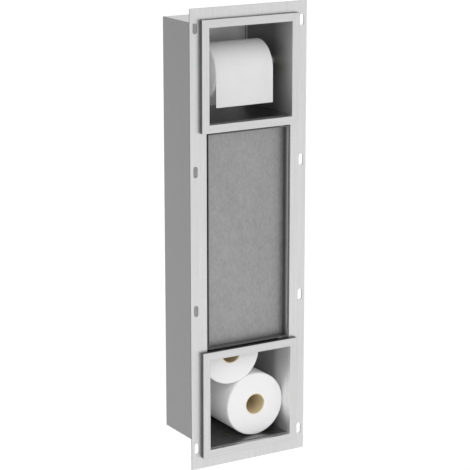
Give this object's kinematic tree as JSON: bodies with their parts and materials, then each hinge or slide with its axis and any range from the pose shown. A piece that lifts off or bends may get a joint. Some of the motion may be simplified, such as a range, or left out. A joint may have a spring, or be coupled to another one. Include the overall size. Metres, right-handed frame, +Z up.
{
  "type": "recessed toilet paper holder",
  "caption": "Recessed stainless holder: open niche with roller and roll, tile-in door over a storage shaft, and an open mouth for spare rolls.",
  "frame": {"origin": "middle of the mounting flange's back face, on the wall plane", "axes": "+X to the right seen from the room, +Y into the wall, +Z up"},
  "size_m": [0.18, 0.1217, 0.63],
  "materials": {
    "brushed_stainless": "fine brushed grain, satin",
    "plain_steel": "plain stamped steel",
    "chromed_steel": "polished",
    "spring_steel": "drawn wire",
    "grey_plastic": "moulded, matt",
    "white_nylon": "moulded, satin",
    "tissue": "soft creped paper",
    "cardboard": "plain grey-brown board"
  },
  "bodies": {
    "housing": {"mounting_flange": "brushed_stainless", "upper_frame": "brushed_stainless", "lower_frame": "brushed_stainless", "left_side_panel": "brushed_stainless", "right_side_panel": "brushed_stainless", "top_panel": "brushed_stainless", "bottom_panel": "brushed_stainless", "back_panel": "brushed_stainless", "niche_floor": "brushed_stainless", "bay_lip_upper": "brushed_stainless", "bay_lip_lower": "brushed_stainless", "hinge_bracket_upper": "plain_steel", "hinge_pin_upper": "plain_steel", "hinge_washer_upper": "white_nylon", "hinge_rivet_upper": "plain_steel", "hinge_bracket_lower": "plain_steel", "hinge_pin_lower": "plain_steel", "hinge_washer_lower": "white_nylon", "hinge_rivet_lower": "plain_steel", "latch_bracket": "brushed_stainless", "latch_body": "grey_plastic", "latch_spring": "spring_steel", "latch_screw_1": "plain_steel", "latch_screw_2": "plain_steel", "rod_socket_left": "brushed_stainless", "rod_socket_right": "brushed_stainless"},
    "door": {"door_tray": "brushed_stainless", "strike_plate": "plain_steel"},
    "latch_button": {"latch_plunger": "white_nylon"},
    "roller": {"rod_outer_sleeve": "chromed_steel", "rod_spring": "spring_steel"},
    "roller_inner": {"rod_inner_sleeve": "chromed_steel"},
    "roll": {"roll_paper": "tissue", "roll_core": "cardboard"},
    "tail": {"paper_tail": "tissue"},
    "spare_roll_1": {"spare_roll_1_paper": "tissue", "spare_roll_1_core": "cardboard"},
    "spare_roll_2": {"spare_roll_2_paper": "tissue", "spare_roll_2_core": "cardboard"}
  },
  "joints": [
    {"name": "door_swing", "type": "hinge", "parent": "housing", "child": "door", "pos_m": [0.052, 0.0026, 0], "axis": [0, 0, 1], "range_deg": [0, 100]},
    {"name": "latch_push", "type": "slide", "parent": "housing", "child": "latch_button", "axis": [0, 1, 0], "range_m": [0, 0.003], "stiffness_N_per_m": 250, "springref_m": -0.001, "deforming": ["latch_spring"]},
    {"name": "roller_spin", "type": "hinge", "parent": "housing", "child": "roller", "pos_m": [0, 0.0468, 0.2294], "axis": [1, 0, 0], "continuous": true},
    {"name": "roller_squeeze", "type": "slide", "parent": "roller", "child": "roller_inner", "axis": [-1, 0, 0], "range_m": [0, 0.006], "stiffness_N_per_m": 400, "springref_m": -0.002, "deforming": ["rod_spring"]},
    {"name": "roll_spin", "type": "hinge", "parent": "housing", "child": "roll", "pos_m": [0, 0.0468, 0.2239], "axis": [1, 0, 0], "continuous": true},
    {"name": "tail_lift", "type": "hinge", "parent": "housing", "child": "tail", "pos_m": [0, 0.0096, 0.2239], "axis": [-1, 0, 0], "range_deg": [0, 60]},
    {"name": "spare_roll_1_out", "type": "slide", "parent": "housing", "child": "spare_roll_1", "axis": [0, -1, 0], "range_m": [0, 0.115]},
    {"name": "spare_roll_2_lift", "type": "slide", "parent": "housing", "child": "spare_roll_2", "axis": [0, 0, 1], "range_m": [0, 0.2]}
  ]
}
